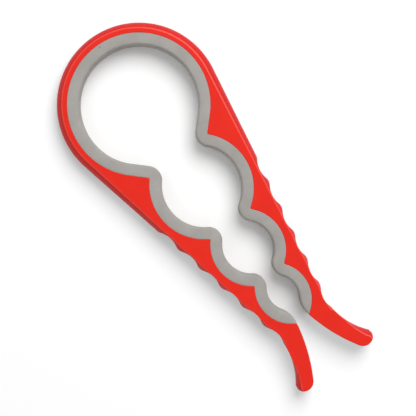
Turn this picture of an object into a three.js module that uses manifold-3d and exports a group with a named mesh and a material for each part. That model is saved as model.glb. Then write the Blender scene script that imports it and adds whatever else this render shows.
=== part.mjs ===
// Hand-squeezed lid opener with four round openings.
//
// A springy hard-plastic moulding, bent into a hoop with two arms, carries a soft grip liner along
// its whole inner edge. The liner and the arms' waves form four openings, from the large hoop down
// to the smallest by the handles. Squeezing the handle tails bends the hoop and closes the openings
// on a lid. The hoop is cut at two flex lines, one on each side, so each arm can turn against it.
//
// Units are millimetres. While the shapes are made, the hoop's centre is the origin, +X runs to the
// handle tails, +Y is the right arm's side and +Z is up. The last group moves the whole part so that
// its origin is the middle of its base.

import * as THREE from 'three';
import { mergeVertices } from 'three/addons/utils/BufferGeometryUtils.js';
import Module from 'manifold-3d';

const wasm = await Module();
wasm.setup();

const deg = THREE.MathUtils.degToRad;
const point = (x, y) => new THREE.Vector2(x, y);

// ---------- Driving dimensions ----------

const OVERALL_LENGTH = 242;
const THICKNESS = 13;

// The four openings, measured at the liner's face. x is the distance from the hoop's centre, and
// each side's arc has its centre past the centre line. Angles of its keys are from +X.
const HOOP = { x: 0, past: 0, radius: 35, keys: [155, 132, 100, 72] };
const LARGE = { x: 60.5, past: 1.9, radius: 25.1, keys: [115, 85, 55] };
const MEDIUM = { x: 105.4, past: 2.6, radius: 17.25, keys: [110, 60] };
const SMALL = { x: 139.2, past: 5.9, radius: 14.4, keys: [105, 60] };

const LINER_THICKNESS = 7;
const LINER_EDGE_ROUND = 1.5; // rounding of the liner's two inner edges
const LINER_GAP = 0.3; // between the liner and the moulding behind it
const CUSP_ROUND = 1; // where two openings meet, in the hard moulding
const SHOULDER_ANGLE = 45; // the hoop's arc runs straight from here to the first cusp

const HOOP_WALL = 6.6;
const HANDLE_ROOT = point(163, 17.7); // where the last finger scallop ends and the tail begins

const SCALLOPS = { count: 6, pitch: 16.8, depth: 2, radius: 13 };

const LIP = { halfGap: 4, radius: 15.8 }; // the liner's last swelling, where the tails begin

// A tail's inner side bows out and its outer side is hollow, each in one arc of the given depth.
// tipCorner is where the hollow ends, as a direction from the middle of the round tip.
const TAIL = { tipHalfSpread: 22, tipRadius: 6.1, innerBow: 1.31, outerHollow: 2.29, tipCorner: 80 };

// The outer sides lean in from the mid-plane to the flat faces. The lean is given at the hoop, at
// the handle root and at the tail's tip. On the tail's waist, a share of the way along its outer
// side, it has run out and the side is upright.
const LEAN = { hoop: 3.9, root: 1.5, tip: 3.6, waist: 0.22 };
const LEAN_LAND = 0.1; // leaves a narrow upright land along the parting line
const WAIST_CLEAR = 0.8; // how far the leaning body passes outside the waist
const LEAN_STEPS = [0, 0.35, 0.7, 1, 1.1]; // shares of the half thickness; the last is past it
const TAIL_STEPS = 9;

const FLEX_ANGLE = 117.5; // flex line, from the direction of the tails
const FLEX_GAP = 0.8;

// Dovetail keys of the liner that lock it in pockets of the moulding, hidden at mid-thickness.
const KEY = { neck: 4, head: 5.6, depth: 2.2, height: 6, root: 0.8 };
const CROWN_KEY = 180;

// Faceting: the largest turn between two points of an arc.
const ARC_STEP = deg(7);
const SMALL_ARC_STEP = deg(14);

// ---------- Plane geometry ----------

function onCircle(centre, radius, angle) {
  return point(centre.x + radius * Math.cos(angle), centre.y + radius * Math.sin(angle));
}

function angleTo(from, to) {
  return Math.atan2(to.y - from.y, to.x - from.x);
}

/** The same direction as angle, written within half a turn of a reference. */
function near(angle, reference) {
  const turns = Math.round((reference - angle) / (2 * Math.PI));
  return angle + turns * 2 * Math.PI;
}

/** Points along an arc, ends included. */
function arcPoints(centre, radius, from, to, step = ARC_STEP) {
  const pieces = Math.max(2, Math.ceil(Math.abs(to - from) / step));
  return Array.from({ length: pieces + 1 }, (_, i) =>
    onCircle(centre, radius, from + (to - from) * i / pieces));
}

/** The radius of an arc that rises by a depth over the length of its chord. */
function bowRadius(length, depth) {
  return (length ** 2 / 4 + depth ** 2) / (2 * depth);
}

/** Where two circles meet, on the left (side 1) or right (side -1) of the way from a to b. */
function circlesMeet(a, radiusA, b, radiusB, side) {
  const gap = a.distanceTo(b);
  const along = (radiusA ** 2 - radiusB ** 2 + gap ** 2) / (2 * gap);
  const across = side * Math.sqrt(radiusA ** 2 - along ** 2);
  const way = b.clone().sub(a).divideScalar(gap);
  return point(a.x + way.x * along - way.y * across, a.y + way.y * along + way.x * across);
}

/** Where a line from a point along a direction first comes within radius of a centre. */
function lineMeets(start, way, centre, radius) {
  const rel = start.clone().sub(centre);
  const middle = -rel.dot(way);
  const half = Math.sqrt(radius ** 2 - rel.lengthSq() + middle ** 2);
  return start.clone().addScaledVector(way, middle - half);
}

const mirrored = (points) => points.map((p) => point(p.x, -p.y));

/** Closes a right-hand path, which starts on the centre line, with its mirror image. */
function closed(path) {
  const left = mirrored(path).reverse();
  const outline = [...path, ...left];
  return outline.filter((p, i) => p.distanceTo(outline[(i + 1) % outline.length]) > 0.01);
}

// ---------- The grip edge of the right arm ----------
//
// The edge is a chain of arcs. An arc of an opening shrinks, and the round over a cusp grows, as
// the edge moves from the moulding towards the openings, so every offset edge is parallel.

const OPENINGS = [HOOP, LARGE, MEDIUM, SMALL];
for (const opening of OPENINGS) {
  opening.centre = point(opening.x, -opening.past);
  opening.seat = opening.radius + LINER_THICKNESS; // radius of the moulding behind the liner
}

/** Centre of the small round that blunts the cusp between two neighbouring openings. */
function cuspCentre(opening, next) {
  if (opening === HOOP) {
    const facing = point(Math.cos(deg(SHOULDER_ANGLE)), Math.sin(deg(SHOULDER_ANGLE)));
    const start = facing.clone().multiplyScalar(HOOP.seat + CUSP_ROUND);
    return lineMeets(start, point(facing.y, -facing.x), next.centre, next.seat + CUSP_ROUND);
  }
  return circlesMeet(opening.centre, opening.seat + CUSP_ROUND,
    next.centre, next.seat + CUSP_ROUND, 1);
}

const lipCentre = (() => {
  const reach = SMALL.radius + LIP.radius;
  const y = LIP.halfGap + LIP.radius;
  return point(SMALL.x + Math.sqrt(reach ** 2 - (y - SMALL.centre.y) ** 2), y);
})();

const hoopOuterRadius = HOOP.seat + HOOP_WALL;
const tipCentre = point(OVERALL_LENGTH - hoopOuterRadius - TAIL.tipRadius, TAIL.tipHalfSpread);
const tailInnerRadius = bowRadius(lipCentre.distanceTo(tipCentre), TAIL.innerBow);
const tailInnerCentre = circlesMeet(lipCentre, tailInnerRadius - LIP.radius,
  tipCentre, tailInnerRadius - TAIL.tipRadius, 1);

/** The chain of arcs from the crown to the smallest opening, each with how it grows. */
function gripArcs() {
  const arcs = [];
  let from = Math.PI;
  OPENINGS.forEach((opening, i) => {
    const next = OPENINGS[i + 1];
    if (!next) {
      const to = near(angleTo(opening.centre, lipCentre), from);
      arcs.push({ centre: opening.centre, radius: opening.seat, from, to, grow: -1 });
      return;
    }
    const cusp = cuspCentre(opening, next);
    const to = opening === HOOP ? deg(SHOULDER_ANGLE) : near(angleTo(opening.centre, cusp), from);
    arcs.push({ centre: opening.centre, radius: opening.seat, from, to, grow: -1 });
    const leave = near(angleTo(cusp, next.centre), to + 1.5 * Math.PI);
    arcs.push({ centre: cusp, radius: CUSP_ROUND, from: to + Math.PI, to: leave, grow: 1 });
    from = near(leave - Math.PI, to);
  });
  return arcs;
}

const GRIP_ARCS = gripArcs();

/** Points of one arc of the grip edge, moved towards the openings by offset. */
function offsetArc({ centre, radius, from, to, grow }, offset) {
  const step = grow > 0 ? SMALL_ARC_STEP : ARC_STEP;
  return arcPoints(centre, radius + grow * offset, from, to, step);
}

/** The seat of the liner in the moulding, moved towards the openings, up to a last angle. */
function seatEdge(offset, lastAngle) {
  const last = { ...GRIP_ARCS.at(-1), to: lastAngle };
  return [...GRIP_ARCS.slice(0, -1), last].flatMap((arc) => offsetArc(arc, offset));
}

/** The liner's face, set back from the openings, on past the lip and along the tail. */
function faceEdge(setBack) {
  const openings = GRIP_ARCS.flatMap((arc) => offsetArc(arc, LINER_THICKNESS - setBack));
  const start = angleTo(lipCentre, SMALL.centre);
  const end = near(angleTo(tailInnerCentre, lipCentre), start);
  const lip = arcPoints(lipCentre, LIP.radius - setBack, start, end);
  const past = end + LIP.radius / tailInnerRadius;
  const tail = arcPoints(tailInnerCentre, tailInnerRadius - setBack, end, past);
  return [...openings, ...lip, ...tail];
}

// ---------- The outer edge of the right arm ----------

// The arm's straight side touches the hoop's outer circle and runs to the handle root.
const armDistance = HANDLE_ROOT.length();
const armNormalAngle = HANDLE_ROOT.angle() + Math.acos(hoopOuterRadius / armDistance);
const armNormal = point(Math.cos(armNormalAngle), Math.sin(armNormalAngle));
const armWay = point(armNormal.y, -armNormal.x);
const armStart = armNormal.clone().multiplyScalar(hoopOuterRadius);

/** A point on the arm's side, back from the handle root and outwards from the side. */
function besideArm(back, out) {
  return HANDLE_ROOT.clone().addScaledVector(armWay, -back).addScaledVector(armNormal, out);
}

/** The row of finger scallops: hollows of one radius, joined by tangent rounds over the crests. */
function scallopEdge() {
  const { count, pitch, depth, radius } = SCALLOPS;
  const reach = (pitch ** 2 / 4 + depth ** 2) / (2 * depth); // hollow radius plus crest radius
  const crest = reach - radius;
  const swing = Math.asin(pitch / 2 / reach);
  const opening = Math.acos((radius - depth) / radius);
  const lastHollow = radius * Math.sin(opening);
  const edge = [];
  for (let i = count - 1; i >= 0; i -= 1) {
    const hollow = besideArm(lastHollow + i * pitch, radius - depth);
    const enter = i === count - 1 ? opening : swing;
    const leave = i === 0 ? opening : swing;
    const down = armNormalAngle + Math.PI;
    edge.push(...arcPoints(hollow, radius, down - enter, down + leave));
    if (i > 0) {
      const top = besideArm(lastHollow + (i - 0.5) * pitch, -crest);
      edge.push(...arcPoints(top, crest, armNormalAngle + swing, armNormalAngle - swing));
    }
  }
  return edge;
}

const tipCornerPoint = onCircle(tipCentre, TAIL.tipRadius, deg(TAIL.tipCorner));
const tailOuterRadius = bowRadius(HANDLE_ROOT.distanceTo(tipCornerPoint), TAIL.outerHollow);
const tailOuterCentre = circlesMeet(HANDLE_ROOT, tailOuterRadius,
  tipCornerPoint, tailOuterRadius, 1);

const linerEnd = circlesMeet(tailInnerCentre, tailInnerRadius, SMALL.centre, SMALL.seat, 1);

/** The tail: its hollow outer side, its round tip, and its inner side back to the liner's end. */
function tailEdge() {
  const outerFrom = angleTo(tailOuterCentre, HANDLE_ROOT);
  const outerTo = near(angleTo(tailOuterCentre, tipCornerPoint), outerFrom);
  const tipTo = angleTo(tailInnerCentre, tipCentre);
  const innerTo = near(angleTo(tailInnerCentre, linerEnd), tipTo);
  return [
    ...arcPoints(tailOuterCentre, tailOuterRadius, outerFrom, outerTo),
    ...arcPoints(tipCentre, TAIL.tipRadius, deg(TAIL.tipCorner), tipTo, SMALL_ARC_STEP),
    ...arcPoints(tailInnerCentre, tailInnerRadius, tipTo, innerTo),
  ];
}

function mouldingOutline() {
  const outer = [
    ...arcPoints(HOOP.centre, hoopOuterRadius, Math.PI, armNormalAngle),
    ...scallopEdge(),
    ...tailEdge(),
  ];
  const inner = seatEdge(0, angleTo(SMALL.centre, linerEnd));
  return closed([...outer, ...inner.reverse()]);
}

// ---------- Solids ----------

function toSolid(geometry) {
  geometry.deleteAttribute('normal');
  geometry.deleteAttribute('uv');
  const merged = mergeVertices(geometry);
  return new wasm.Manifold(new wasm.Mesh({
    numProp: 3,
    vertProperties: new Float32Array(merged.attributes.position.array),
    triVerts: new Uint32Array(merged.index.array),
  }));
}

function toGeometry(solid) {
  const { vertProperties, triVerts } = solid.getMesh();
  const geometry = new THREE.BufferGeometry();
  geometry.setAttribute('position', new THREE.BufferAttribute(vertProperties, 3));
  geometry.setIndex(new THREE.BufferAttribute(triVerts, 1));
  const faceted = geometry.toNonIndexed();
  faceted.computeVertexNormals();
  return faceted;
}

/** An upright prism on an outline, from one height to another. */
function prism(outline, low, high) {
  const options = { depth: high - low, bevelEnabled: false, steps: 1 };
  const geometry = new THREE.ExtrudeGeometry(new THREE.Shape(outline), options);
  return toSolid(geometry.translate(0, 0, low));
}

/** A solid through a stack of outlines that have the same number of points. */
function loft(levels) {
  const count = levels[0].outline.length;
  const positions = levels.flatMap(({ z, outline }) => outline.flatMap((p) => [p.x, p.y, z]));
  const turn = THREE.ShapeUtils.isClockWise(levels[0].outline) ? -1 : 1;
  const index = [];
  const face = (a, b, c) => index.push(...(turn > 0 ? [a, b, c] : [a, c, b]));
  for (let level = 0; level < levels.length - 1; level += 1) {
    for (let i = 0; i < count; i += 1) {
      const a = level * count + i;
      const b = level * count + (i + 1) % count;
      face(a, b, b + count);
      face(a, b + count, a + count);
    }
  }
  const top = (levels.length - 1) * count;
  const cap = (outline) => {
    const flip = THREE.ShapeUtils.isClockWise(outline);
    const ordered = flip ? outline.slice().reverse() : outline;
    const own = (i) => (flip ? count - 1 - i : i);
    return THREE.ShapeUtils.triangulateShape(ordered, []).map((triangle) => triangle.map(own));
  };
  for (const [a, b, c] of cap(levels[0].outline)) index.push(a, c, b);
  for (const [a, b, c] of cap(levels.at(-1).outline)) index.push(top + a, top + b, top + c);
  const geometry = new THREE.BufferGeometry();
  geometry.setAttribute('position', new THREE.Float32BufferAttribute(positions, 3));
  geometry.setIndex(index);
  return toSolid(geometry);
}

// ---------- The hard moulding ----------

/** Outline of the leaning outer sides at a share of the lean, run on past the tails' tips. */
function leanOutline(share) {
  const hoopRadius = hoopOuterRadius + LEAN_LAND - share * LEAN.hoop;
  const hoop = arcPoints(HOOP.centre, hoopRadius, Math.PI, armNormalAngle);
  const root = besideArm(0, LEAN_LAND - share * LEAN.root);
  const from = angleTo(tailOuterCentre, HANDLE_ROOT);
  const to = near(angleTo(tailOuterCentre, tipCornerPoint), from);
  const tail = Array.from({ length: TAIL_STEPS + 1 }, (_, i) => {
    const way = (i + 1) / TAIL_STEPS; // the last step is past the tip
    const rise = Math.max(0, way - LEAN.waist) / (1 - LEAN.waist);
    const out = LEAN_LAND + WAIST_CLEAR * Math.max(0, 1 - rise) - share * LEAN.tip * rise;
    return onCircle(tailOuterCentre, tailOuterRadius - out, from + (to - from) * way);
  });
  const beyond = tail.at(-1);
  return closed([...hoop, root, ...tail, point(beyond.x + TAIL.tipRadius, 0)]);
}

function leanBody() {
  const half = THICKNESS / 2;
  const shares = [...LEAN_STEPS.slice(1).reverse().map((s) => -s), ...LEAN_STEPS];
  return loft(shares.map((s) => ({ z: half * (1 + s), outline: leanOutline(s * s) })));
}

/** A dovetail key, or with clearance its pocket, on the seat of an opening. */
function key(opening, angle, clearance = 0) {
  const inner = -KEY.root - LINER_GAP;
  const outer = KEY.depth - LINER_GAP + clearance;
  const neck = KEY.neck / 2 + clearance;
  const head = KEY.head / 2 + clearance;
  const shape = [point(inner, -neck), point(outer, -head), point(outer, head), point(inner, neck)];
  const direction = deg(angle);
  const seat = onCircle(opening.centre, opening.seat, direction);
  const outline = shape.map((p) => p.rotateAround(point(0, 0), direction).add(seat));
  const tall = KEY.height / 2 + clearance;
  return { outline, low: THICKNESS / 2 - tall, high: THICKNESS / 2 + tall };
}

/** Every key of the liner, on both sides, as prisms. */
function keys(clearance) {
  const right = OPENINGS.flatMap((opening) => opening.keys.map((a) => key(opening, a, clearance)));
  const left = right.map((one) => ({ ...one, outline: mirrored(one.outline) }));
  const crown = key(HOOP, CROWN_KEY, clearance);
  return [...right, ...left, crown].map(({ outline, low, high }) => prism(outline, low, high));
}

function moulding() {
  let solid = prism(mouldingOutline(), 0, THICKNESS).intersect(leanBody());
  for (const pocket of keys(LINER_GAP)) solid = solid.subtract(pocket);
  return solid;
}

// ---------- The soft liner ----------

/** The openings as one solid, flared at both faces by the round on the liner's edges. */
function openingsBody() {
  const round = LINER_EDGE_ROUND;
  const top = [0, 45, 90].map(deg).map((a) => ({
    z: THICKNESS - round + round * Math.sin(a),
    setBack: round * (1 - Math.cos(a)),
  }));
  const rising = [...top, { z: THICKNESS + round, setBack: round }];
  const falling = rising.map(({ z, setBack }) => ({ z: THICKNESS - z, setBack })).reverse();
  return loft([...falling, ...rising].map(({ z, setBack }) => ({
    z,
    outline: closed(faceEdge(setBack)),
  })));
}

function liner() {
  const seatRadius = SMALL.seat - LINER_GAP;
  const meetsCentreLine = Math.asin(SMALL.past / seatRadius);
  const seat = seatEdge(LINER_GAP, meetsCentreLine);
  let solid = prism(closed(seat), 0, THICKNESS).subtract(openingsBody());
  for (const one of keys(0)) solid = solid.add(one);
  return solid;
}

// ---------- Flex lines ----------

/** The slot that parts the hoop from an arm; side 1 is the right arm. */
function flexSlot(side) {
  const reach = 2 * hoopOuterRadius;
  const slot = new THREE.BoxGeometry(reach, FLEX_GAP, 2 * THICKNESS);
  slot.translate(reach / 2, 0, THICKNESS / 2);
  return toSolid(slot.rotateZ(side * deg(FLEX_ANGLE)));
}

/** The space on each side of the flex lines, as a prism. */
function regions() {
  const far = 2 * OVERALL_LENGTH;
  const flex = onCircle(HOOP.centre, far, deg(FLEX_ANGLE));
  const flexLeft = point(flex.x, -flex.y);
  const space = (outline) => prism(outline, -THICKNESS, 2 * THICKNESS);
  return {
    hoop: space([HOOP.centre, flex, point(-far, far), point(-far, -far), flexLeft]),
    right_arm: space([HOOP.centre, point(far, 0), point(far, far), flex]),
    left_arm: space([HOOP.centre, flexLeft, point(far, -far), point(far, 0)]),
  };
}

// ---------- The part ----------

const moulded = new THREE.MeshStandardMaterial({ color: '#e8342a', roughness: 0.38, metalness: 0 });
const softGrip = new THREE.MeshStandardMaterial({ color: '#a8a6a1', roughness: 0.8, metalness: 0 });

const part = new THREE.Group();
const opener = new THREE.Group();
opener.position.set(hoopOuterRadius - OVERALL_LENGTH / 2, 0, 0);
part.add(opener);

const slots = flexSlot(1).add(flexSlot(-1));
const bodies = [
  { suffix: 'frame', solid: moulding().subtract(slots), material: moulded },
  { suffix: 'liner', solid: liner().subtract(slots), material: softGrip },
];
for (const [section, space] of Object.entries(regions())) {
  for (const { suffix, solid, material } of bodies) {
    const mesh = new THREE.Mesh(toGeometry(solid.intersect(space)), material);
    mesh.name = `${section}_${suffix}`;
    opener.add(mesh);
  }
}

export default part;
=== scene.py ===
# %% [markdown]
# # A hand-squeezed lid opener
#
# The opener is two plastics moulded together. A hard red moulding is bent into a hoop with two
# arms: it is the spring, the finger rests and the flared handle tails. A soft grey liner is
# moulded on to its inner edge, and its waves are what grips a lid.
#
# The lesson builds both around a fixed frame, which is the working model of the same opener. The
# frame says where everything is and which bodies move, so each piece made here is drawn in its
# coordinates, in metres.

import math

import bmesh
import bpy
import numpy as np
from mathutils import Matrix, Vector


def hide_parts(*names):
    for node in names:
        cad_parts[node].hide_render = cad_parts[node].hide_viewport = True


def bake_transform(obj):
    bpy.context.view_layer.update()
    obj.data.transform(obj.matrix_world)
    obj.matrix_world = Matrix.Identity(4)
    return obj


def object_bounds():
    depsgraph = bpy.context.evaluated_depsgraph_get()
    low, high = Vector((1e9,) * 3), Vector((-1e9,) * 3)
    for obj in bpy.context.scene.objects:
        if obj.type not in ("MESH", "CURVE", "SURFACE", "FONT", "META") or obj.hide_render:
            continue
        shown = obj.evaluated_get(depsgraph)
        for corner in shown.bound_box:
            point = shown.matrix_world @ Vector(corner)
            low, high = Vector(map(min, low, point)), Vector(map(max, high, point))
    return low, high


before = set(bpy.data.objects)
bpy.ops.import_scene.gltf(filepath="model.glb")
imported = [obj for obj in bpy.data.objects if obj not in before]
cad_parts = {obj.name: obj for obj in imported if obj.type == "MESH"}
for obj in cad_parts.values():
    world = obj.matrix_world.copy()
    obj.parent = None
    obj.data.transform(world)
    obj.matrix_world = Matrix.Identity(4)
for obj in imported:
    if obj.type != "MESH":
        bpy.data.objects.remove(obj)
cad_low, cad_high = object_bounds()

# %% [markdown]
# ## Sizes
#
# Both pieces follow the same few sizes, in millimetres: four round openings, the thickness of the
# liner, the wall of the hoop, the finger scallops and the tails. The plane of the opener is drawn
# with complex numbers, x + iy, with the hoop's centre as zero, +x towards the tails and +y on the
# right arm's side. They add, turn and scale like vectors, and numpy takes a whole outline at once.

# %% Driving sizes, in millimetres
MM = 0.001
OVERALL_LENGTH = 242
THICKNESS = (cad_high.z - cad_low.z) / MM

# Each opening: its distance from the hoop's centre, how far its arc's centre lies past the centre
# line, and its radius at the liner's face.
OPENINGS = [(0, 0, 35), (60.5, 1.9, 25.1), (105.4, 2.6, 17.25), (139.2, 5.9, 14.4)]
LINER_THICKNESS = 7
CUSP_ROUND = 1
SHOULDER_ANGLE = math.radians(45)

HOOP_WALL = 6.6
HANDLE_ROOT = 163 + 17.7j
SCALLOP_COUNT, SCALLOP_PITCH, SCALLOP_DEPTH, SCALLOP_RADIUS = 6, 16.8, 2, 13
LIP_HALF_GAP, LIP_RADIUS = 4, 15.8
TIP_HALF_SPREAD, TIP_RADIUS, TIP_CORNER = 22, 6.1, math.radians(80)
TAIL_INNER_BOW, TAIL_OUTER_HOLLOW = 1.31, 2.29

HOOP_SEAT = OPENINGS[0][2] + LINER_THICKNESS
HOOP_OUTER = HOOP_SEAT + HOOP_WALL
HOOP_CENTRE_X = cad_low.x / MM + HOOP_OUTER
print("hoop centre in the frame", round(HOOP_CENTRE_X, 2), "mm, thickness", round(THICKNESS, 2), "mm")

# %% [markdown]
# ## Camera
#
# The opener lies flat and is seen from straight above, turned so that its hoop points up and to
# the left. The camera stands three quarters of a metre above the top face, so the walls of the
# hoop still show a little on their far sides. The focal length follows from how wide a strip of
# the top face has to fill the frame.

# %% Camera
CAMERA_CENTRE = Vector((0.45, -4.66))
CAMERA_HEIGHT = 750
FRAME_WIDTH = 243.2
FRAME_TURN = math.radians(52.6)

camera = bpy.data.objects.new("camera", bpy.data.cameras.new("camera"))
bpy.context.scene.collection.objects.link(camera)
bpy.context.scene.camera = camera
camera.data.lens = camera.data.sensor_width * CAMERA_HEIGHT / FRAME_WIDTH
camera.location = Vector((*CAMERA_CENTRE, THICKNESS + CAMERA_HEIGHT)) * MM
camera.rotation_euler = (0, 0, FRAME_TURN)
print("lens", round(camera.data.lens, 1), "mm")

# %% [markdown]
# ## Floor and light
#
# A pale seamless floor lies under the opener. One large soft light stands high on the side that
# the hoop points to and throws a short soft shadow the other way. A white world fills the rest,
# as a light tent does. It is brightest in a band above half-way up, which the crease round the
# faces mirrors, and dim overhead and near the horizon, so the faces and sides keep their colour.

# %% Colour and node helpers
def linear(hex_colour):
    """An sRGB hex colour as the linear RGBA that shaders use."""
    channels = [int(hex_colour[i:i + 2], 16) / 255 for i in (1, 3, 5)]
    return [c / 12.92 if c <= 0.04045 else ((c + 0.055) / 1.055) ** 2.4 for c in channels] + [1]


def add_node(tree, kind, inputs=None, **settings):
    """Adds a node. Inputs go by name or number, and take a value or another node's output."""
    node = tree.nodes.new(kind)
    for name, value in settings.items():
        setattr(node, name, value)
    for key, value in (inputs or {}).items():
        if isinstance(value, bpy.types.NodeSocket):
            tree.links.new(value, node.inputs[key])
        else:
            node.inputs[key].default_value = value
    return node


def new_material(name):
    """An empty node material, and its tree."""
    material = bpy.data.materials.new(name)
    material.use_nodes = True
    material.node_tree.nodes.clear()
    return material, material.node_tree


# %% Floor
FLOOR_HALF_WIDTH = 2.0

paper, tree = new_material("matt_white_paper")
shader = add_node(tree, "ShaderNodeBsdfPrincipled", {
    "Base Color": linear("#FCFCFC"), "Roughness": 0.9, "Specular IOR Level": 0.2})
add_node(tree, "ShaderNodeOutputMaterial", {"Surface": shader.outputs["BSDF"]})

floor_mesh = bpy.data.meshes.new("floor")
h = FLOOR_HALF_WIDTH
floor_mesh.from_pydata([(-h, -h, 0), (h, -h, 0), (h, h, 0), (-h, h, 0)], [], [(0, 1, 2, 3)])
floor = bpy.data.objects.new("floor", floor_mesh)
bpy.context.scene.collection.objects.link(floor)
floor_mesh.materials.append(paper)

# %% World and lights
TENT_LIGHT = [(0, 0.38), (0.42, 0.38), (0.64, 1.0), (0.84, 1.0), (0.97, 0.24)]  # sine of height, light
TENT_POWER = 0.83
KEY_POWER, KEY_SIZE, KEY_DISTANCE = 23.0, 1.5, 1.7
KEY_AZIMUTH, KEY_ELEVATION = math.radians(116), math.radians(50)

world = bpy.data.worlds.new("studio")
world.use_nodes = True
world.node_tree.nodes.clear()
tree = world.node_tree
way = add_node(tree, "ShaderNodeTexCoord").outputs["Generated"]
up = add_node(tree, "ShaderNodeSeparateXYZ", {0: way}).outputs["Z"]
glow = add_node(tree, "ShaderNodeValToRGB", {"Fac": up})
stops = glow.color_ramp.elements
stops.remove(stops[1])
for sine, grey in TENT_LIGHT:
    stop = stops.new(sine) if sine else stops[0]
    stop.color = (grey, grey, grey, 1)
sky = add_node(tree, "ShaderNodeBackground", {"Color": glow.outputs["Color"], "Strength": TENT_POWER})
add_node(tree, "ShaderNodeOutputWorld", {"Surface": sky.outputs["Background"]})
bpy.context.scene.world = world
bpy.context.scene.view_settings.view_transform = "Standard"

key_light = bpy.data.lights.new("key_softbox", "AREA")
key_light.shape = "DISK"
key_light.size = KEY_SIZE
key_light.energy = KEY_POWER
key = bpy.data.objects.new("key_softbox", key_light)
bpy.context.scene.collection.objects.link(key)
towards_key = Vector((
    math.cos(KEY_AZIMUTH) * math.cos(KEY_ELEVATION),
    math.sin(KEY_AZIMUTH) * math.cos(KEY_ELEVATION),
    math.sin(KEY_ELEVATION)))
key.location = towards_key * KEY_DISTANCE
key.rotation_euler = towards_key.to_track_quat("Z", "Y").to_euler()

# %% [markdown]
# ## Finishes
#
# The hard part is ABS, injection moulded in a satin-polished tool. The eye sees a clean saturated
# red with a soft gloss, faint cloudy flow marks and a very fine grain. Its sides are duller, and
# painted a deeper red as painted shade; a thin lighter line is painted along the crease round the
# faces as a painted highlight. Light alone draws these too faintly, so two attributes of the mesh,
# lean and crease, say where they go. The level of its reflections is set below that of bare ABS,
# so that the sides stay red beside a white floor.
#
# The liner is thermoplastic rubber, which comes out matt and warm grey, with a speckle from its
# filler and almost no shine. A tiny dark mark at the crown is where the mould was filled. Both
# plastics are coloured right through, and their patterns are set in millimetres in the object's
# own coordinates.

# %% Red ABS
FLOW_MARK, TOOL_GRAIN = 14, 0.9  # the real grain is nearer 0.2 mm, drawn coarser so that it shows
SIDE_DULLNESS = 0.22
REFLECTION_LEVEL = 0.22


def at_size(size):
    """The scale of a noise pattern whose patches are so many millimetres across."""
    return 1 / (size * MM)


moulded_abs, tree = new_material("injection_moulded_abs")
place = add_node(tree, "ShaderNodeTexCoord").outputs["Object"]
flow = add_node(tree, "ShaderNodeTexNoise", {
    "Vector": place, "Scale": at_size(FLOW_MARK), "Detail": 2, "Roughness": 0.5})
grain = add_node(tree, "ShaderNodeTexNoise", {
    "Vector": place, "Scale": at_size(TOOL_GRAIN), "Detail": 3, "Roughness": 0.6})
tint = add_node(tree, "ShaderNodeMix", {
    "Factor": flow.outputs[0], 6: linear("#DC271C"), 7: linear("#E92E20")}, data_type="RGBA")
satin = add_node(tree, "ShaderNodeMapRange", {
    "Value": grain.outputs[0], "From Min": 0.3, "From Max": 0.7, "To Min": 0.22, "To Max": 0.27})
# Painted shade: the leaning sides are mixed towards a deeper red, #CC1208.
lean = add_node(tree, "ShaderNodeAttribute", attribute_name="lean").outputs["Fac"]
painted_side_shade = add_node(tree, "ShaderNodeMix", {
    "Factor": lean, 6: tint.outputs[2], 7: linear("#CC1208")}, data_type="RGBA")
duller = add_node(tree, "ShaderNodeMath", {0: lean, 1: SIDE_DULLNESS, 2: satin.outputs[0]},
                  operation="MULTIPLY_ADD")
# Painted highlight: the crease round the faces is mixed towards a lighter red, #F46054.
crease = add_node(tree, "ShaderNodeAttribute", attribute_name="crease").outputs["Fac"]
painted_crease_highlight = add_node(tree, "ShaderNodeMix", {
    "Factor": crease, 6: painted_side_shade.outputs[2], 7: linear("#F46054")}, data_type="RGBA")
relief = add_node(tree, "ShaderNodeBump", {
    "Height": grain.outputs[0], "Strength": 0.05, "Distance": 0.05 * MM})
shader = add_node(tree, "ShaderNodeBsdfPrincipled", {
    "Base Color": painted_crease_highlight.outputs[2], "Roughness": duller.outputs[0], "Normal": relief.outputs[0],
    "IOR": 1.53, "Specular IOR Level": REFLECTION_LEVEL})
add_node(tree, "ShaderNodeOutputMaterial", {"Surface": shader.outputs[0]})
print(moulded_abs.name, len(tree.nodes), "nodes")

# %% Grey thermoplastic rubber
BLOOM, FILLER_SPECKLE = 9, 0.7  # real filler is finer, drawn coarser so that it shows
GATE_RADIUS, GATE_ANGLE, GATE_MARK = 40.4, math.radians(177), 0.45

thermoplastic_rubber, tree = new_material("matt_thermoplastic_rubber")
place = add_node(tree, "ShaderNodeTexCoord").outputs["Object"]
bloom = add_node(tree, "ShaderNodeTexNoise", {
    "Vector": place, "Scale": at_size(BLOOM), "Detail": 2, "Roughness": 0.5})
speckle = add_node(tree, "ShaderNodeTexNoise", {
    "Vector": place, "Scale": at_size(FILLER_SPECKLE), "Detail": 3, "Roughness": 0.7})
both = add_node(tree, "ShaderNodeMath", {0: bloom.outputs[0], 1: speckle.outputs[0]}, operation="ADD")
share = add_node(tree, "ShaderNodeMapRange", {
    "Value": both.outputs[0], "From Min": 0.7, "From Max": 1.3, "To Min": 0.0, "To Max": 1.0})
tint = add_node(tree, "ShaderNodeMix", {
    "Factor": share.outputs[0], 6: linear("#97938F"), 7: linear("#A4A09B")}, data_type="RGBA")
gate = (
    (HOOP_CENTRE_X + GATE_RADIUS * math.cos(GATE_ANGLE)) * MM,
    GATE_RADIUS * math.sin(GATE_ANGLE) * MM,
    THICKNESS * MM)
from_gate = add_node(tree, "ShaderNodeVectorMath", {0: place, 1: gate}, operation="DISTANCE")
pip = add_node(tree, "ShaderNodeMapRange", {
    "Value": from_gate.outputs["Value"], "From Min": 0.5 * GATE_MARK * MM, "From Max": GATE_MARK * MM,
    "To Min": 0.8, "To Max": 0.0})
marked = add_node(tree, "ShaderNodeMix", {
    "Factor": pip.outputs[0], 6: tint.outputs[2], 7: linear("#4A4744")}, data_type="RGBA")
matt = add_node(tree, "ShaderNodeMapRange", {
    "Value": speckle.outputs[0], "From Min": 0.3, "From Max": 0.7, "To Min": 0.68, "To Max": 0.85})
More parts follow.
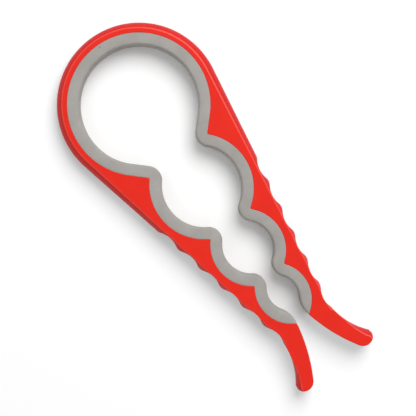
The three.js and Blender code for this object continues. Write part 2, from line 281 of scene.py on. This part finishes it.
relief = add_node(tree, "ShaderNodeBump", {
    "Height": speckle.outputs[0], "Strength": 0.25, "Distance": 0.06 * MM})
shader = add_node(tree, "ShaderNodeBsdfPrincipled", {
    "Base Color": marked.outputs[2], "Roughness": matt.outputs[0], "Normal": relief.outputs[0],
    "IOR": 1.48})
add_node(tree, "ShaderNodeOutputMaterial", {"Surface": shader.outputs[0]})
print(thermoplastic_rubber.name, len(tree.nodes), "nodes")

# %% [markdown]
# ## The outlines
#
# Every line of the opener is a chain of round arcs and short straights, as a mould maker would
# draw it. Walking a chain gives the point at any distance along it, and even a little past its
# ends, so an outline can be read as finely as a surface needs. A sharp corner is rounded by
# taking the average of a short stretch of the walk.

# %% Chains of arcs and straights
class Arc:
    def __init__(self, centre, radius, start, end):
        self.centre, self.radius, self.start, self.end = centre, radius, start, end
        self.length = abs(end - start) * radius

    def at(self, share):
        return self.centre + self.radius * np.exp(1j * (self.start + (self.end - self.start) * share))


class Straight:
    def __init__(self, start, end):
        self.start, self.end = start, end
        self.length = abs(end - start)

    def at(self, share):
        return self.start + (self.end - self.start) * share


def walk(chain, distance):
    """The points of a chain at some distances from its start."""
    points = np.zeros(len(distance), complex)
    start = 0
    for i, piece in enumerate(chain):
        here = distance >= start if i else np.full(len(distance), True)
        points[here] = piece.at((distance[here] - start) / piece.length)
        start += piece.length
    return points


def chain_length(chain):
    return sum(piece.length for piece in chain)


def natural_stops(chain, longest, turn):
    """Distances along a chain, close enough together to draw each of its pieces smoothly."""
    stops, start = [], 0
    for piece in chain:
        sweep = abs(piece.end - piece.start) if isinstance(piece, Arc) else 0
        count = max(1, math.ceil(piece.length / longest), math.ceil(sweep / turn))
        stops.append(start + piece.length * np.arange(count) / count)
        start += piece.length
    return np.append(np.concatenate(stops), start)


def circles_meet(a, radius_a, b, radius_b, side):
    """Where two circles meet, on the left (side 1) or right (side -1) of the way from a to b."""
    gap = abs(b - a)
    along = (radius_a ** 2 - radius_b ** 2 + gap ** 2) / (2 * gap)
    across = side * math.sqrt(radius_a ** 2 - along ** 2)
    return a + (b - a) / gap * complex(along, across)


def bow_radius(length, depth):
    """The radius of an arc that rises by a depth over the length of its chord."""
    return (length ** 2 / 4 + depth ** 2) / (2 * depth)


def direction(start, end):
    return float(np.angle(end - start))


def near(angle, reference):
    """The same direction, written within half a turn of a reference."""
    return angle + 2 * math.pi * round((reference - angle) / (2 * math.pi))


# %% [markdown]
# ### The grip edge
#
# The seat is where the liner joins the red moulding. Between two openings it turns round a small
# cusp. The liner's face runs parallel to the seat, so each of its arcs has the same centre: an
# opening's arc shrinks by the liner's thickness and a cusp's grows by it. After the smallest
# opening the face swells over a lip while the seat keeps its circle, and the two meet in a point.

# %% Grip edge
centres = [complex(x, -past) for x, past, _ in OPENINGS]
seats = [radius + LINER_THICKNESS for _, _, radius in OPENINGS]


def cusp_centre(i):
    """Centre of the small round between an opening and the next. The hoop leaves in a straight."""
    if i:
        return circles_meet(centres[i], seats[i] + CUSP_ROUND,
                            centres[i + 1], seats[i + 1] + CUSP_ROUND, 1)
    facing = np.exp(1j * SHOULDER_ANGLE)
    start, way = facing * (seats[0] + CUSP_ROUND), -1j * facing
    from_centre = (start - centres[1]) / way
    reach = seats[1] + CUSP_ROUND
    return start + way * (-from_centre.real - math.sqrt(reach ** 2 - from_centre.imag ** 2))


def grip_chain(offset):
    """The seat moved towards the openings by an offset, from the crown to the last opening."""
    chain, leave = [], math.pi
    for i in range(len(OPENINGS) - 1):
        cusp = cusp_centre(i)
        to = near(direction(centres[i], cusp), leave) if i else SHOULDER_ANGLE
        chain.append(Arc(centres[i], seats[i] - offset, leave, to))
        turn_end = near(direction(cusp, centres[i + 1]), to + 1.5 * math.pi)
        turn = Arc(cusp, CUSP_ROUND + offset, to + math.pi, turn_end)
        if not i:
            chain.append(Straight(complex(chain[-1].at(1)), complex(turn.at(0))))
        chain.append(turn)
        leave = near(turn_end - math.pi, to)
    return chain, leave


lip_height = LIP_HALF_GAP + LIP_RADIUS
lip_reach = OPENINGS[-1][2] + LIP_RADIUS
lip_centre = complex(
    OPENINGS[-1][0] + math.sqrt(lip_reach ** 2 - (lip_height - centres[-1].imag) ** 2), lip_height)
tip_centre = complex(OVERALL_LENGTH - HOOP_OUTER - TIP_RADIUS, TIP_HALF_SPREAD)
tail_inner_radius = bow_radius(abs(tip_centre - lip_centre), TAIL_INNER_BOW)
tail_inner_centre = circles_meet(
    lip_centre, tail_inner_radius - LIP_RADIUS, tip_centre, tail_inner_radius - TIP_RADIUS, 1)
liner_end = circles_meet(tail_inner_centre, tail_inner_radius, centres[-1], seats[-1], 1)

seat_chain, last_start = grip_chain(0)
last_lip = near(direction(centres[-1], lip_centre), last_start)
last_end = near(direction(centres[-1], liner_end), last_start)
seat_chain.append(Arc(centres[-1], seats[-1], last_start, last_end))
print("seat", round(chain_length(seat_chain), 1), "mm long, ends at", np.round(liner_end, 2))

# %% [markdown]
# ### The outer edge
#
# The outer side starts round the hoop and runs down the arm in a straight. Six finger scallops
# are cut into it, each a shallow hollow, with a tangent round over each crest between two. Behind
# the handle root the tail flares out in one hollow arc to its round tip.

# %% Outer edge
arm_angle = direction(0, HANDLE_ROOT) + math.acos(HOOP_OUTER / abs(HANDLE_ROOT))
arm_out = np.exp(1j * arm_angle)
arm_way = -1j * arm_out
arm_start = HOOP_OUTER * arm_out


def beside_arm(back, out):
    """A point on the arm's side, back from the handle root and outwards from the side."""
    return HANDLE_ROOT - arm_way * back + arm_out * out


def scallop_chain():
    """The straight of the arm and its row of finger scallops, up to the handle root."""
    reach = bow_radius(SCALLOP_PITCH, SCALLOP_DEPTH)
    swing = math.asin(SCALLOP_PITCH / 2 / reach)
    opening = math.acos((SCALLOP_RADIUS - SCALLOP_DEPTH) / SCALLOP_RADIUS)
    last_hollow = SCALLOP_RADIUS * math.sin(opening)
    down = arm_angle + math.pi
    chain = []
    for i in reversed(range(SCALLOP_COUNT)):
        hollow = beside_arm(last_hollow + i * SCALLOP_PITCH, SCALLOP_RADIUS - SCALLOP_DEPTH)
        enter = opening if i == SCALLOP_COUNT - 1 else swing
        chain.append(Arc(hollow, SCALLOP_RADIUS, down - enter, down + (swing if i else opening)))
        if i:
            crest = beside_arm(last_hollow + (i - 0.5) * SCALLOP_PITCH, SCALLOP_RADIUS - reach)
            chain.append(Arc(crest, reach - SCALLOP_RADIUS, arm_angle + swing, arm_angle - swing))
    return [Straight(arm_start, complex(chain[0].at(0))), *chain]


arm_chain = scallop_chain()
tip_corner = tip_centre + TIP_RADIUS * np.exp(1j * TIP_CORNER)
tail_outer_radius = bow_radius(abs(tip_corner - HANDLE_ROOT), TAIL_OUTER_HOLLOW)
tail_outer_centre = circles_meet(HANDLE_ROOT, tail_outer_radius, tip_corner, tail_outer_radius, 1)
tail_from = direction(tail_outer_centre, HANDLE_ROOT)
tail_to = near(direction(tail_outer_centre, tip_corner), tail_from)
tip_end = direction(tail_inner_centre, tip_centre)

inner_from = near(direction(tail_inner_centre, liner_end), tip_end)

hoop_arc = Arc(0, HOOP_OUTER, math.pi, arm_angle)
tail_arc = Arc(tail_outer_centre, tail_outer_radius, tail_from, tail_to)
outer_chain = [hoop_arc, *arm_chain, tail_arc, Arc(tip_centre, TIP_RADIUS, TIP_CORNER, 0)]
inner_chain = [
    *seat_chain,
    Arc(tail_inner_centre, tail_inner_radius, inner_from, tip_end),
    Arc(tip_centre, TIP_RADIUS, tip_end, 0),
]
print("outer edge", round(chain_length(outer_chain), 1), "mm, inner", round(chain_length(inner_chain), 1))

# %% [markdown]
# ## The red moulding
#
# The real one is injection moulded in ABS. Its mould opens at mid-thickness, so the outer sides
# lean in from there to both faces, most round the hoop and at the tails' tips and least along the
# tails. Where the lean meets the flat face there is a crease, which catches the light.
#
# A box cut to the outline could be bevelled, but a bevel can't lean by a different amount along
# its length. So the moulding is built as a stack of level lines: at each height the outer side is
# worked out again, each time with the same number of points, and the levels are joined into
# quads. The last levels run a little way in over the flat faces, and a short running average
# across them rounds every edge.

# %% Lean of the outer side at a level
LEAN_HOOP, LEAN_ROOT, LEAN_TIP = 3.9, 1.5, 3.6
LEAN_LAND = 0.1
TAIL_WAIST, WAIST_CLEAR = 0.22, 0.8
CREASE_SOFTNESS = 0.35

hoop_length = hoop_arc.length
arm_length = chain_length(arm_chain)
arm_span = abs(HANDLE_ROOT - arm_start)
tail_start = hoop_length + arm_length
tip_start = tail_start + tail_arc.length
outer_length = chain_length(outer_chain)


def cut_in(depth, lean, land=LEAN_LAND):
    """How much further in the leaning side cuts than a scallop of some depth, with a soft turn."""
    def softer(lean_line):
        return (depth + lean_line + np.sqrt((depth - lean_line) ** 2 + CREASE_SOFTNESS ** 2)) / 2
    return softer(lean - land) - softer(-land)


def tail_cut(way, level):
    """How far the tail's outer side lies inside its outline, a share of the way to its corner."""
    rise = np.clip((way - TAIL_WAIST) / (1 - TAIL_WAIST), 0, None)
    fade = np.clip(1 - way / TAIL_WAIST, 0, 1) ** 2
    clear = LEAN_LAND + WAIST_CLEAR * np.clip(1 - rise, 0, None) * (1 - fade)
    return cut_in(0, level * (LEAN_TIP * rise + LEAN_ROOT * fade), clear)


def tail_point(way, level):
    """A point of the tail's leaning side, a share of the way to its corner."""
    angle = tail_from + (tail_to - tail_from) * way
    return tail_outer_centre + (tail_outer_radius + tail_cut(way, level)) * np.exp(1j * angle)


def corner_way(level):
    """The share of the tail's outer arc at which its leaning side meets the round tip."""
    low, high = np.full(len(level), 0.9), np.full(len(level), 1.4)
    for _ in range(30):
        middle = (low + high) / 2
        outside = abs(tail_point(middle, level) - tip_centre) > TIP_RADIUS
        low, high = np.where(outside, low, middle), np.where(outside, middle, high)
    return high


print("scallops", SCALLOP_COUNT, "along", round(arm_span, 1), "mm of arm")

# %% Outer and inner sides, corners rounded
ROUNDING_SAMPLES = 13


def sharp_outer(distance, level):
    """Points of the outer side at distances along the outline, each at its own level, 0 to 1."""
    points = walk(outer_chain, distance)
    hoop = distance < hoop_length
    arm = ~hoop & (distance < tail_start)
    tail = (distance >= tail_start) & (distance < tip_start)
    tip = distance >= tip_start

    points[hoop] *= 1 - cut_in(0, level[hoop] * LEAN_HOOP) / HOOP_OUTER

    on_arm = (points[arm] - arm_start) / arm_way
    lean = LEAN_HOOP + (LEAN_ROOT - LEAN_HOOP) * on_arm.real / arm_span
    points[arm] -= arm_out * cut_in(-on_arm.imag, level[arm] * lean)

    way = (distance[tail] - tail_start) / tail_arc.length * corner_way(level[tail])
    points[tail] = tail_point(way, level[tail])

    corner = tail_point(corner_way(level[tip]), level[tip]) - tip_centre
    share = (distance[tip] - tip_start) / (outer_length - tip_start)
    points[tip] = tip_centre + TIP_RADIUS * np.exp(1j * np.angle(corner) * (1 - share))
    return points


def sharp_inner(distance, level):
    return walk(inner_chain, distance)


def corner_window(corners, distance):
    """Half the stretch that a corner is rounded over, widest at the corner and nought away from it."""
    window = np.max([reach - abs(distance - corner) for corner, reach in corners], axis=0)
    return np.clip(window, 0, None)


def rounded(side, corners, distance, level):
    """A side with its corners rounded, by averaging a stretch that is widest at each corner."""
    window = corner_window(corners, distance)
    shares = np.linspace(-1, 1, ROUNDING_SAMPLES)
    return np.mean([side(distance + window * share, level) for share in shares], axis=0)


first_scallop = hoop_length + arm_chain[0].length
outer_corners = [(first_scallop, 1.6), (tail_start, 1.6), (tip_start, 3.2)]
seat_length = chain_length(seat_chain)
inner_corners = [(seat_length, 1.2)]
inner_length = chain_length(inner_chain)
print("corners rounded:", len(outer_corners), "outside,", len(inner_corners), "inside")

# %% [markdown]
# ### Stations
#
# A station is a pair of points, one on the outer side and one facing it on the inner side. Each
# side is sampled where its own arcs need it. The cusps and the ends tie the two sides together,
# and between those ties the samples of both sides are merged, so every station has its partner.

# %% Stations of the moulding
LONGEST_STEP, LARGEST_TURN, SHORTEST_STEP = 1.0, math.radians(6), 0.12

cusp_marks, start = [], 0
for piece in seat_chain:
    if isinstance(piece, Arc) and piece.radius == CUSP_ROUND:
        cusp_marks.append(start + piece.length / 2)
    start += piece.length
hoop_share = (math.pi - arm_angle) / (math.pi - SHOULDER_ANGLE)
inner_ties = np.array([0, seat_chain[0].length * hoop_share, *cusp_marks, seat_length, inner_length])

probe = np.linspace(hoop_length, tail_start, 2000)
probe_along = ((walk(outer_chain, probe) - arm_start) / arm_way).real
cusp_along = ((walk(inner_chain, np.array(cusp_marks)) - arm_start) / arm_way).real
outer_ties = np.array([0, hoop_length, *np.interp(cusp_along, probe_along, probe), tail_start, outer_length])

tie_count = np.arange(len(outer_ties))
outer_stops = natural_stops(outer_chain, LONGEST_STEP, LARGEST_TURN)
inner_stops = natural_stops(inner_chain, LONGEST_STEP, LARGEST_TURN)
wanted = np.unique(np.concatenate([
    tie_count,
    np.interp(outer_stops, outer_ties, tie_count),
    np.interp(inner_stops, inner_ties, tie_count)]))

stations = [wanted[0]]
for mark in wanted[1:]:
    last = stations[-1]
    step = max(
        abs(np.interp(mark, tie_count, outer_ties) - np.interp(last, tie_count, outer_ties)),
        abs(np.interp(mark, tie_count, inner_ties) - np.interp(last, tie_count, inner_ties)))
    if step > SHORTEST_STEP:
        stations.append(mark)
stations[-1] = tie_count[-1]
outer_at = np.interp(stations, tie_count, outer_ties)
inner_at = np.interp(stations, tie_count, inner_ties)
print(len(stations), "stations")

# %% [markdown]
# ### Rings
#
# Each station carries a column of points, from mid-thickness up the side and in over the flat
# face, and the same again below. Near the edge they are evenly spaced, so that averaging seven
# neighbours rounds the edge and leaves the rest as it was. On the seat, where the liner meets the
# red, they are closer together, which leaves only a fine groove. A raised line a twentieth of a
# millimetre high runs round at mid-thickness, where the two halves of the mould met. Each ring
# also carries two shares, how far it lies on the leaning side and on the crease: they place the
# painted shade on the sides and the painted highlight on the crease.

# %% Columns of the moulding
HALF = THICKNESS / 2
SIDE_LIFTS = [0, 0.12, 0.24, 1.0, 2.0, 3.0, 3.8, 4.5, 5.1]
EDGE_STEP, EDGE_RINGS, FACE_RINGS = 0.17, 6, 4
SEAT_SHARPNESS = 0.5
AVERAGED = 3
PARTING_RELIEF = 0.05
# Rings over which the painted side shade fades in, and spread and strength of the painted crease highlight.
LEAN_RINGS, CREASE_RINGS, CREASE_LIGHTNESS = 2, 3.5, 0.6
WAY_REACH, WAY_SPREAD = 0.05, 0.6


def inward_way(side, corners, distance, level, turn):
    """The unit direction into the material at the face. Near a corner it turns over a longer
    stretch, so that the rings on the face don't fold over each other."""
    reach = WAY_REACH + WAY_SPREAD * corner_window(corners, distance)
    ahead = rounded(side, corners, distance + reach, level)
    behind = rounded(side, corners, distance - reach, level)
    return turn * 1j * (ahead - behind) / abs(ahead - behind)


def half_column(side, corners, distance, turn, scale, relief):
    """Points and heights above mid-thickness, ring by ring, of one side's upper half."""
    full = np.ones(len(distance))
    edge = [HALF - EDGE_STEP * k * scale for k in range(EDGE_RINGS, -1, -1)]
    lifts = [lift * full for lift in SIDE_LIFTS] + edge
    way = inward_way(side, corners, distance, full, turn)
    rings = []
    for k, lift in enumerate(lifts):
        level = (lift / HALF) ** 2
        rings.append(rounded(side, corners, distance, level) + (k > 1) * relief * way)
    face_edge = rings[-1]
    for k in range(1, FACE_RINGS + 1):
        rings.append(face_edge + EDGE_STEP * k * scale * way)
        lifts.append(HALF * full)
    points, heights = np.array(rings), np.array(lifts)
    softened_points, softened_heights = points.copy(), heights.copy()
    for k in range(len(SIDE_LIFTS) + AVERAGED, len(rings) - 1):
        reach = min(AVERAGED, len(rings) - 1 - k)
        softened_points[k] = points[k - reach:k + reach + 1].mean(axis=0)
        softened_heights[k] = heights[k - reach:k + reach + 1].mean(axis=0)
    return softened_points, softened_heights


def full_column(points, heights):
    """Both halves of the columns, from the lower face's ring to the upper face's."""
    points = np.concatenate([points[:0:-1], points])
    heights = np.concatenate([-heights[:0:-1], heights])
    x = points.real + HOOP_CENTRE_X
    return np.stack([x, points.imag, heights + HALF], axis=-1) * MM


tail_share = np.clip((inner_at - seat_length) / (inner_length - seat_length), 0, 1)
inner_scale = SEAT_SHARPNESS + (1 - SEAT_SHARPNESS) * np.clip(tail_share * 4, 0, 1)
inner_relief = PARTING_RELIEF * np.clip(tail_share * 8, 0, 1)
outer_columns = full_column(*half_column(
    sharp_outer, outer_corners, outer_at, -1, np.ones(len(outer_at)), PARTING_RELIEF))
inner_columns = full_column(*half_column(
    sharp_inner, inner_corners, inner_at, 1, inner_scale, inner_relief))
half_rings = len(outer_columns) // 2
from_middle = abs(np.arange(-half_rings, half_rings + 1))
below_crease = len(SIDE_LIFTS) + EDGE_RINGS - from_middle
# LEAN_SHARE places the painted shade of the sides, CREASE_SHARE the painted highlight on the crease.
LEAN_SHARE = np.clip(below_crease / LEAN_RINGS, 0, 1)
CREASE_SHARE = CREASE_LIGHTNESS * np.clip(1 - abs(below_crease - 0.5) / CREASE_RINGS, 0, 1)
print("rings in a column", len(outer_columns))

# %% Mesh of each half
def frame_half(name, side, material):
    """One half of the moulding, from the crown to a tail's tip. Side is 1 for the right arm."""
    rings, count = outer_columns.shape[:2]
    last = count - 1
    outer = outer_columns.transpose(1, 0, 2).reshape(-1, 3)
    inner = inner_columns[:, :last].transpose(1, 0, 2).reshape(-1, 3)
    points = np.concatenate([outer, inner]) * [1, side, 1]

    def on_outer(i, ring):
        return i * rings + ring

    def on_inner(i, ring):
        return on_outer(i, ring) if i == last else (count + i) * rings + ring

    faces = []
    for i in range(last):
        for ring in range(rings - 1):
            for where in (on_outer, on_inner):
                faces.append((where(i, ring), where(i + 1, ring), where(i + 1, ring + 1), where(i, ring + 1)))
        for ring in (0, rings - 1):
            flat = [on_outer(i, ring), on_inner(i, ring), on_inner(i + 1, ring), on_outer(i + 1, ring)]
            faces.append(tuple(dict.fromkeys(flat)))
    faces.append([on_outer(0, ring) for ring in range(rings)]
                 + [on_inner(0, ring) for ring in reversed(range(rings))])
    mesh = bpy.data.meshes.new(name)
    mesh.from_pydata(points.tolist(), [], faces)
    mesh.materials.append(material)
    # The lean share carries the painted side shade, the crease share the painted crease highlight.
    shares = [("lean", LEAN_SHARE, LEAN_SHARE), ("crease", CREASE_SHARE, 0 * CREASE_SHARE)]
    for attribute, outside, inside in shares:
        values = np.concatenate([np.tile(outside, count), np.tile(inside, last)])
        mesh.attributes.new(attribute, "FLOAT", "POINT").data.foreach_set("value", values)
    piece = closed_piece(name, mesh)
    piece.visible_diffuse = False  # keeps the red out of the light that bounces on to the floor
    return piece


SHARP_ANGLE = math.radians(40)


def closed_piece(name, mesh):
    """An object of a closed mesh, with its faces pointing out, smooth but for its sharp edges."""
    mesh.name = name
    turned = bmesh.new()
    turned.from_mesh(mesh)
    bmesh.ops.recalc_face_normals(turned, faces=turned.faces)
    open_edges = sum(len(edge.link_faces) != 2 for edge in turned.edges)
    volume = turned.calc_volume(signed=True) / MM ** 3
    turned.to_mesh(mesh)
    turned.free()
    mesh.shade_smooth()
    mesh.set_sharp_from_angle(angle=SHARP_ANGLE)
    piece = bpy.data.objects.new(name, mesh)
    bpy.context.scene.collection.objects.link(piece)
    print(name, len(mesh.polygons), "faces,", open_edges, "open edges,", round(volume), "cubic mm")
    return piece


frame_right = frame_half("frame_right", 1, moulded_abs)
frame_left = frame_half("frame_left", -1, moulded_abs)

# %% [markdown]
# ## The grey liner
#
# The liner is a soft thermoplastic rubber, shot into the same mould after the red has set. It has
# the red's full thickness, seven millimetres of width, and big rounds on its two inner edges, so
# that a lid slides in. It is a rule all along: at each station the same section stands between
# the seat and the face. That suits Geometry Nodes. Two guides go in, the path of stations and the
# rounded corners of the section, and the tree spreads a grid over them.

# %% Guides of the liner
JOINT_GAP = 0.04
CREASE_ANGLE = math.radians(14)
CORNER_POINTS, CRESCENT_STATIONS = 7, 36
FACE_TURN, FACE_STEP = math.radians(5), 1.0


def guide(name, points, **attributes):
    """A cloud of points in millimetres, with named numbers or vectors on them, for a node tree."""
    mesh = bpy.data.meshes.new(name)
    mesh.from_pydata([tuple(p) for p in points], [], [])
    for key, values in attributes.items():
        values = np.array(values, float)
        flat = values.ndim == 1
        attribute = mesh.attributes.new(key, "FLOAT" if flat else "FLOAT_VECTOR", "POINT")
        attribute.data.foreach_set("value" if flat else "vector", values.ravel())
    piece = bpy.data.objects.new(name, mesh)
    bpy.context.scene.collection.objects.link(piece)
    return piece


def liner_stations():
    """The liner's stations: points on the seat and facing them on the openings' side."""
    seat_side, last = grip_chain(JOINT_GAP)
    face_side, _ = grip_chain(LINER_THICKNESS)
    seat_side.append(Arc(centres[-1], seats[-1] - JOINT_GAP, last, last_lip))
    face_side.append(Arc(centres[-1], seats[-1] - LINER_THICKNESS, last, last_lip))
    seat_points, face_points = [], []
    for seat_piece, face_piece in zip(seat_side, face_side):
        longer = max(seat_piece, face_piece, key=lambda piece: piece.length)
        stops = natural_stops([longer], FACE_STEP, FACE_TURN)[:-1] / longer.length
        seat_points.append(seat_piece.at(stops))
        face_points.append(face_piece.at(stops))
    return seat_points, face_points


def crescent():
    """The liner's end, where the face swells over the lip and closes on the seat's circle."""
    lip_from = direction(lip_centre, centres[-1])
    lip_to = near(direction(tail_inner_centre, lip_centre), lip_from)
    lip = Arc(lip_centre, LIP_RADIUS, lip_from, lip_to)
    tail_end = near(direction(tail_inner_centre, liner_end), lip_to)
    tail = Arc(tail_inner_centre, tail_inner_radius, lip_to, tail_end)
    seat = Arc(centres[-1], seats[-1] - JOINT_GAP, last_lip, last_end)
    length = lip.length + tail.length
    share = np.linspace(0, 1, CRESCENT_STATIONS)
    return seat.at(share), walk([lip, tail], share * length)


seat_points, face_points = liner_stations()
crescent_seat, crescent_face = crescent()
path_seat = np.concatenate([*seat_points, crescent_seat])
path_face = np.concatenate([*face_points, crescent_face])
path_face[-1] = path_seat[-1]
print(len(path_seat), "stations of the liner")


def section_corner(on_face, above, first_angle, count):
    """One rounded corner of the section: for each point, its share of the round in from the side
    and down from the flat, whether it is above, and which side it is on."""
    angles = np.linspace(first_angle, math.pi / 2, count)
    across = (1 - np.sin(angles)) / (1 - math.sin(first_angle))
    down = (math.cos(first_angle) - np.cos(angles)) / math.cos(first_angle)
    corner = [(a, d, above, on_face) for a, d in zip(across, down)]
    return corner if (above > 0) == bool(on_face) else corner[::-1]


section = [
    *section_corner(1, 1, CREASE_ANGLE, CORNER_POINTS + 3),
    *section_corner(1, -1, CREASE_ANGLE, CORNER_POINTS + 3),
    *section_corner(0, -1, 0, CORNER_POINTS),
    *section_corner(0, 1, 0, CORNER_POINTS),
]
section_guide = guide("section_guide", [p[:3] for p in section], on_face=[p[3] for p in section])
print(len(section), "points round the section")

# %% [markdown]
# The tree reads both guides by number. A grid gives one row of points for each station and one
# column for each point of the section. Its first row is drawn together into one point, which
# closes the flat end at the crown, and the last column falls on the first.

# %% Node tree of the liner
WELD_DISTANCE = 0.000004  # in metres


def liner_tree():
    tree = bpy.data.node_groups.new("soft_liner", "GeometryNodeTree")
    tree.is_modifier = True
    sockets = {}
    for name, kind in [("Stations", "NodeSocketGeometry"), ("Section", "NodeSocketObject"),
                       ("Height", "NodeSocketFloat"), ("Edge round", "NodeSocketFloat"),
                       ("Joint round", "NodeSocketFloat"), ("Left hand", "NodeSocketBool"),
                       ("Material", "NodeSocketMaterial")]:
        sockets[name] = tree.interface.new_socket(name, in_out="INPUT", socket_type=kind).identifier
    tree.interface.new_socket("Liner", in_out="OUTPUT", socket_type="NodeSocketGeometry")

    def node(kind, inputs=None, **settings):
        return add_node(tree, kind, inputs, **settings).outputs

    def calculate(operation, *values):
        return node("ShaderNodeMath", dict(enumerate(values)), operation=operation)[0]

    def stored(name, kind, source, index):
        value = node("GeometryNodeInputNamedAttribute", {"Name": name}, data_type=kind)[0]
        return node("GeometryNodeSampleIndex", {"Geometry": source, "Value": value, "Index": index},
                    data_type=kind)[0]

    def place(source, index):
        position = node("GeometryNodeInputPosition")[0]
        return node("GeometryNodeSampleIndex", {"Geometry": source, "Value": position, "Index": index},
                    data_type="FLOAT_VECTOR")[0]

    given = node("NodeGroupInput")
    path = given["Stations"]
    corners = node("GeometryNodeObjectInfo", {"Object": given["Section"]})["Geometry"]
    station_count = node("GeometryNodeAttributeDomainSize", {"Geometry": path})["Point Count"]
    corner_count = node("GeometryNodeAttributeDomainSize", {"Geometry": corners})["Point Count"]
    columns = calculate("ADD", corner_count, 1)
    grid = node("GeometryNodeMeshGrid", {
        "Vertices X": calculate("ADD", station_count, 1), "Vertices Y": columns})["Mesh"]

    index = node("GeometryNodeInputIndex")[0]
    row = calculate("FLOOR", calculate("DIVIDE", calculate("ADD", index, 0.5), columns))
    column = calculate("SUBTRACT", index, calculate("MULTIPLY", row, columns))
    corner = calculate("MODULO", column, corner_count)
    station = calculate("MAXIMUM", calculate("SUBTRACT", row, 1), 0)

    seat = place(path, station)
    to_face = stored("to_face", "FLOAT_VECTOR", path, station)
    width = node("ShaderNodeVectorMath", {0: to_face}, operation="LENGTH")["Value"]
    way = node("ShaderNodeVectorMath", {0: to_face}, operation="NORMALIZE")["Vector"]
    unit = node("ShaderNodeSeparateXYZ", {0: place(corners, corner)})
    on_face = stored("on_face", "FLOAT", corners, corner)

    rounds = calculate("ADD", given["Edge round"], given["Joint round"])
    fit = calculate("MINIMUM", calculate("DIVIDE", width, rounds), 1)
    wide = calculate("MULTIPLY", given["Edge round"], on_face)
    narrow = calculate("MULTIPLY", given["Joint round"], calculate("SUBTRACT", 1, on_face))
    corner_round = calculate("MULTIPLY", calculate("ADD", wide, narrow), fit)
    inset = calculate("MULTIPLY", unit["X"], corner_round)
    from_face = calculate("MULTIPLY", calculate("SUBTRACT", width, inset), on_face)
    from_seat = calculate("MULTIPLY", inset, calculate("SUBTRACT", 1, on_face))
    along = calculate("ADD", from_face, from_seat)
    half = calculate("DIVIDE", given["Height"], 2)
    rise = calculate("SUBTRACT", half, calculate("MULTIPLY", unit["Y"], corner_round))
    height = calculate("ADD", half, calculate("MULTIPLY", unit["Z"], rise))

    offset = node("ShaderNodeVectorMath", {0: way, "Scale": along}, operation="SCALE")["Vector"]
    flat = node("ShaderNodeVectorMath", {0: seat, 1: offset}, operation="ADD")["Vector"]
    lift = node("ShaderNodeCombineXYZ", {"Z": height})[0]
    point = node("ShaderNodeVectorMath", {0: flat, 1: lift}, operation="ADD")["Vector"]

    middle = node("ShaderNodeVectorMath", {0: to_face, "Scale": 0.5}, operation="SCALE")["Vector"]
    inside = node("ShaderNodeVectorMath", {0: seat, 1: middle}, operation="ADD")["Vector"]
    half_lift = node("ShaderNodeCombineXYZ", {"Z": half})[0]
    pole = node("ShaderNodeVectorMath", {0: inside, 1: half_lift}, operation="ADD")["Vector"]
    is_pole = calculate("LESS_THAN", row, 0.5)
    spread = node("GeometryNodeSwitch", {"Switch": is_pole, "False": point, "True": pole},
                  input_type="VECTOR")[0]

    shape = node("GeometryNodeSetPosition", {"Geometry": grid, "Position": spread})[0]
    turned = node("GeometryNodeFlipFaces", {"Mesh": shape})[0]
    handed = node("GeometryNodeSwitch", {
        "Switch": given["Left hand"], "False": shape, "True": turned}, input_type="GEOMETRY")[0]
    welded = node("GeometryNodeMergeByDistance", {"Geometry": handed, "Distance": WELD_DISTANCE})[0]
    real = node("GeometryNodeRealizeInstances", {"Geometry": welded})[0]
    coated = node("GeometryNodeSetMaterial", {"Geometry": real, "Material": given["Material"]})[0]
    add_node(tree, "NodeGroupOutput", {0: coated})
    return tree, sockets


soft_liner, liner_sockets = liner_tree()
print("liner tree has", len(soft_liner.nodes), "nodes")

# %% Liner halves
EDGE_ROUND, JOINT_ROUND = 1.5, 0.32


def liner_half(name, side, material):
    """One half of the liner, from the crown to its pointed end. Side is 1 for the right arm."""
    seat = np.stack([path_seat.real + HOOP_CENTRE_X, path_seat.imag * side, 0 * path_seat.real], axis=-1)
    reach = path_face - path_seat
    to_face = np.stack([reach.real, reach.imag * side, 0 * reach.real], axis=-1)
    grown = guide(name + "_guide", seat * MM, to_face=to_face * MM)
    modifier = grown.modifiers.new("soft_liner", "NODES")
    modifier.node_group = soft_liner
    values = {"Section": section_guide, "Height": THICKNESS * MM, "Edge round": EDGE_ROUND * MM,
              "Joint round": JOINT_ROUND * MM, "Left hand": side < 0, "Material": material}
    for key, value in values.items():
        modifier[liner_sockets[key]] = value
    evaluated = grown.evaluated_get(bpy.context.evaluated_depsgraph_get())
    mesh = bpy.data.meshes.new_from_object(evaluated)
    bpy.data.objects.remove(grown)
    return closed_piece(name, mesh)


liner_right = liner_half("liner_right", 1, thermoplastic_rubber)
liner_left = liner_half("liner_left", -1, thermoplastic_rubber)
bpy.data.objects.remove(section_guide)

# %% [markdown]
# ## In place of the frame's parts
#
# The hoop is the spring. When the tails are squeezed, each arm swings in and the hoop bends
# beside it. In the frame each arm turns on one hinge, on the hoop's wall. Here each half is one
# unbroken piece in the frame's coordinates, and the frame's own hoop and arm parts are hidden.

# %% Transforms baked, frame parts hidden
BEND_FROM = -35

for piece, kind, slot_name, arm, side in [
        (frame_right, "frame", "red_moulding", "right_arm", 1),
        (frame_left, "frame", "red_moulding", "left_arm", -1),
        (liner_right, "liner", "grey_grip", "right_arm", 1),
        (liner_left, "liner", "grey_grip", "left_arm", -1)]:
    start = Vector((BEND_FROM + HOOP_CENTRE_X, 0, HALF)) * MM
    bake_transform(piece)
    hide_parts("hoop_" + kind, arm + "_" + kind)
    print(piece.name, "bends from the hoop to", arm)
